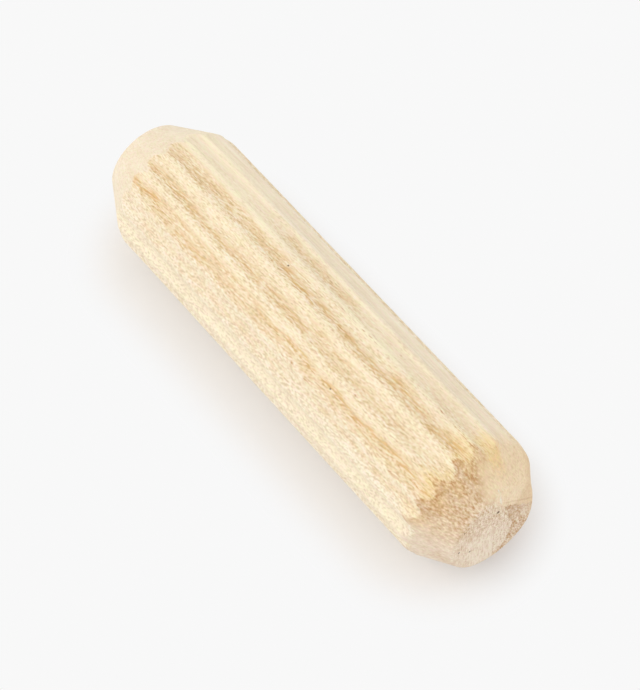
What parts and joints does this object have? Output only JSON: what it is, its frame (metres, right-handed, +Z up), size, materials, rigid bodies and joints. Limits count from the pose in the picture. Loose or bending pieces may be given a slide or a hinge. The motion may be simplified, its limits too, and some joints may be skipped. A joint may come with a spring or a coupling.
{
  "type": "dowel pin",
  "caption": "Straight fluted wooden dowel pin with chamfered ends and a chipped rim, lying on its crests, for joining boards with glue in matching drilled holes.",
  "frame": {"origin": "on the surface that the pin rests on, under the middle of its length", "axes": "+X along the pin's axis towards the end with the chipped rim, +Z up with a flute straight down between the two crests it rests on"},
  "size_m": [0.03, 0.008, 0.0079],
  "materials": {
    "birch": "matte"
  },
  "bodies": {
    "root": {"dowel_pin": "birch"}
  },
  "joints": []
}
